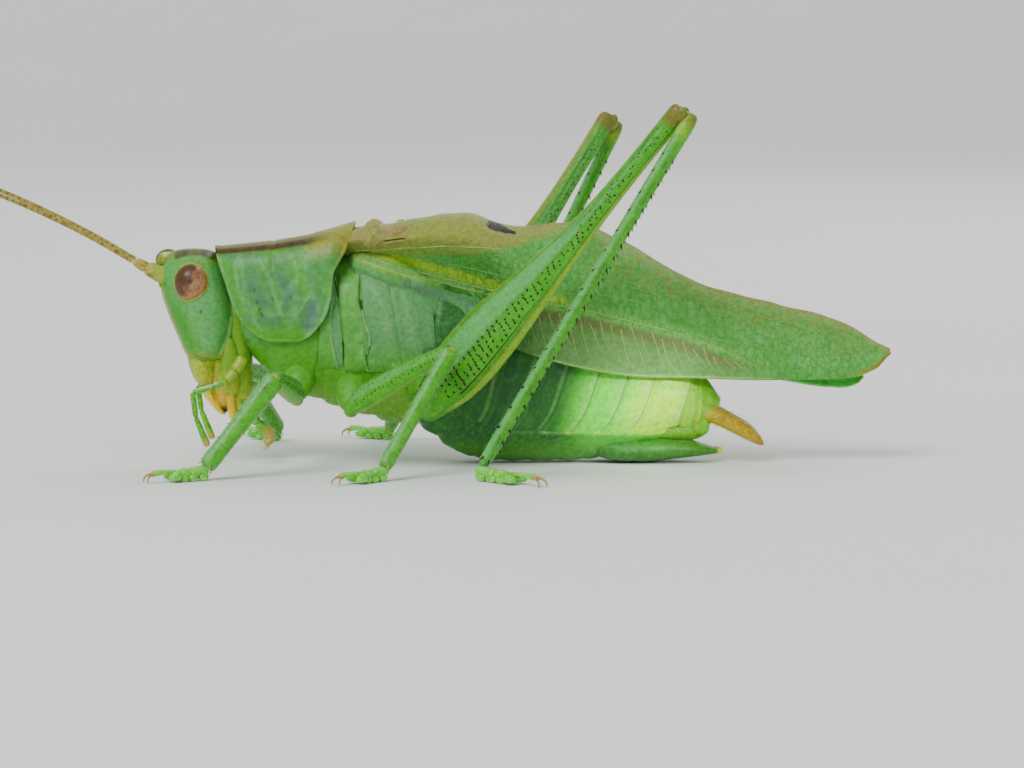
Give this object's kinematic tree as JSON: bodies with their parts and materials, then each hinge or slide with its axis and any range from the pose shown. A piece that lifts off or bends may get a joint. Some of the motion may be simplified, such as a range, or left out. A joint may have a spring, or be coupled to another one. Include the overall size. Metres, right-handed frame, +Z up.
{
  "type": "long horned grasshopper",
  "caption": "Meadow katydid male at rest: narrow wings folded along the body, thread-like feelers, long hind legs drawn up.",
  "frame": {"origin": "centre of the underside of the whole animal's box, on the floor it rests on", "axes": "+Z up, the head and feelers point along -X, the animal's left side is -Y"},
  "size_m": [0.0604, 0.0224, 0.0132],
  "materials": {
    "head_shell": "satin green cuticle with a bluish sheen",
    "eye": "glossy reddish brown compound eye",
    "mouthparts": "satin yellow and olive cuticle",
    "palps": "satin green cuticle",
    "antennae": "dull tan cuticle with darker rings",
    "pronotum": "satin translucent green cuticle with an olive back",
    "thorax": "satin green cuticle with pale ridges",
    "abdomen": "satin green to yellow-green cuticle",
    "cerci": "satin orange-yellow cuticle",
    "forewings": "thin leathery green wing with a tan back",
    "hindwings": "thin bluish green wing",
    "front_and_mid_legs": "satin bright green cuticle",
    "hind_legs": "satin bright green cuticle with dark dots"
  },
  "bodies": {
    "root": {"head": "head_shell", "eye_left": "eye", "eye_right": "eye", "labrum": "mouthparts", "maxillae": "mouthparts", "mandible_left": "mouthparts", "maxillary_palp_left": "palps", "labial_palp_left": "palps", "mandible_right": "mouthparts", "maxillary_palp_right": "palps", "labial_palp_right": "palps", "scape_left": "antennae", "flagellum_left_1": "antennae", "flagellum_left_2": "antennae", "flagellum_left_3": "antennae", "scape_right": "antennae", "flagellum_right_1": "antennae", "flagellum_right_2": "antennae", "flagellum_right_3": "antennae", "prothorax": "thorax", "mesothorax": "thorax", "metathorax": "thorax", "pronotum": "pronotum", "forewing_left": "forewings", "forewing_right": "forewings", "abdomen_1": "abdomen", "abdomen_2": "abdomen", "abdomen_3": "abdomen", "abdomen_4": "abdomen", "abdomen_5": "abdomen", "abdomen_6": "abdomen", "abdomen_7": "abdomen", "abdomen_8": "abdomen", "abdomen_tip": "abdomen", "subgenital_plate": "abdomen", "cercus_left": "cerci", "hindwing_left": "hindwings", "cercus_right": "cerci", "hindwing_right": "hindwings", "femur_front_left": "front_and_mid_legs", "tibia_front_left": "front_and_mid_legs", "tarsus_front_left": "front_and_mid_legs", "femur_front_right": "front_and_mid_legs", "tibia_front_right": "front_and_mid_legs", "tarsus_front_right": "front_and_mid_legs", "femur_mid_left": "front_and_mid_legs", "tibia_mid_left": "front_and_mid_legs", "tarsus_mid_left": "front_and_mid_legs", "femur_mid_right": "front_and_mid_legs", "tibia_mid_right": "front_and_mid_legs", "tarsus_mid_right": "front_and_mid_legs", "femur_hind_left": "hind_legs", "tibia_hind_left": "hind_legs", "tarsus_hind_left": "hind_legs", "femur_hind_right": "hind_legs", "tibia_hind_right": "hind_legs", "tarsus_hind_right": "hind_legs"}
  },
  "joints": []
}
